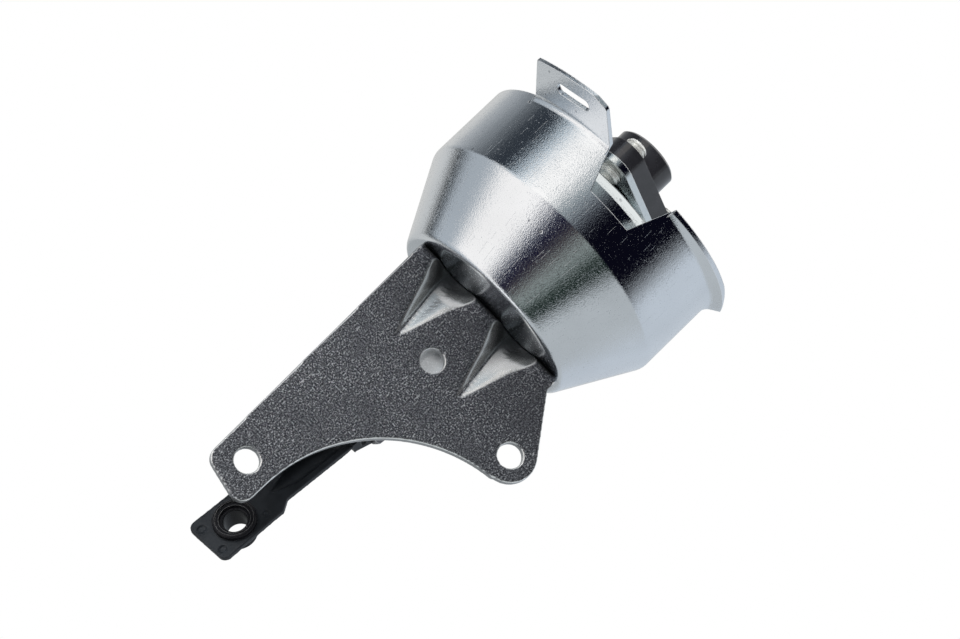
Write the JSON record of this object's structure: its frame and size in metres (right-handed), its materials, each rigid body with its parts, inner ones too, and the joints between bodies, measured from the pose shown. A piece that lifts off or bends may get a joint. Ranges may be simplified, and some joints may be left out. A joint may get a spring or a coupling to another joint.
{
  "type": "turbo actuator",
  "caption": "Vacuum actuator with a deep-drawn can, a folded bracket plate and a spring-loaded rod with a flat eye end.",
  "frame": {"origin": "midway between the bracket's two bolt holes, on the bracket's front face", "axes": "+Z along the can's axis, away from the rod; +Y from the bracket's front face back towards the rod; +X across the bracket towards the upper bolt hole"},
  "size_m": [0.0642, 0.0684, 0.1242],
  "materials": {
    "bracket_steel": "dark phosphated, speckled",
    "zinc_sheet": "bright zinc plate with drawing marks",
    "zinc_cover": "bright zinc plate",
    "inner_steel": "plain pressed",
    "fastener_zinc": "zinc plate",
    "spring_steel": "oiled spring wire",
    "rod_zinc": "zinc plate",
    "black_plastic": "moulded, glossy",
    "black_coat": "black electrocoat",
    "eye_steel": "black, satin",
    "bush_bronze": "sintered",
    "rubber": "matte"
  },
  "bodies": {
    "housing": {"bracket": "bracket_steel", "outer_can": "zinc_sheet", "lower_pan": "inner_steel", "upper_cover": "zinc_cover", "crimp_ring": "inner_steel", "diaphragm": "rubber", "port_plate": "zinc_cover", "port_body": "black_plastic", "port_seal": "rubber", "port_screws": "fastener_zinc", "guide_bush": "bush_bronze", "rod_wiper": "rubber", "mounting_studs": "fastener_zinc", "stud_washers": "fastener_zinc", "stud_nuts": "fastener_zinc", "return_spring": "spring_steel"},
    "rod_body": {"rod": "rod_zinc", "piston_cup": "inner_steel", "piston_washer": "inner_steel", "lock_nut": "fastener_zinc", "rod_end": "black_coat", "eye_housing": "eye_steel", "eye_clip": "eye_steel", "eye_bush": "eye_steel"}
  },
  "joints": [
    {"name": "rod_slide", "type": "slide", "parent": "housing", "child": "rod_body", "axis": [0, 0, 1], "range_m": [0, 0.012], "stiffness_N_per_m": 4000, "springref_m": -0.004, "deforming": ["return_spring", "diaphragm"]}
  ]
}
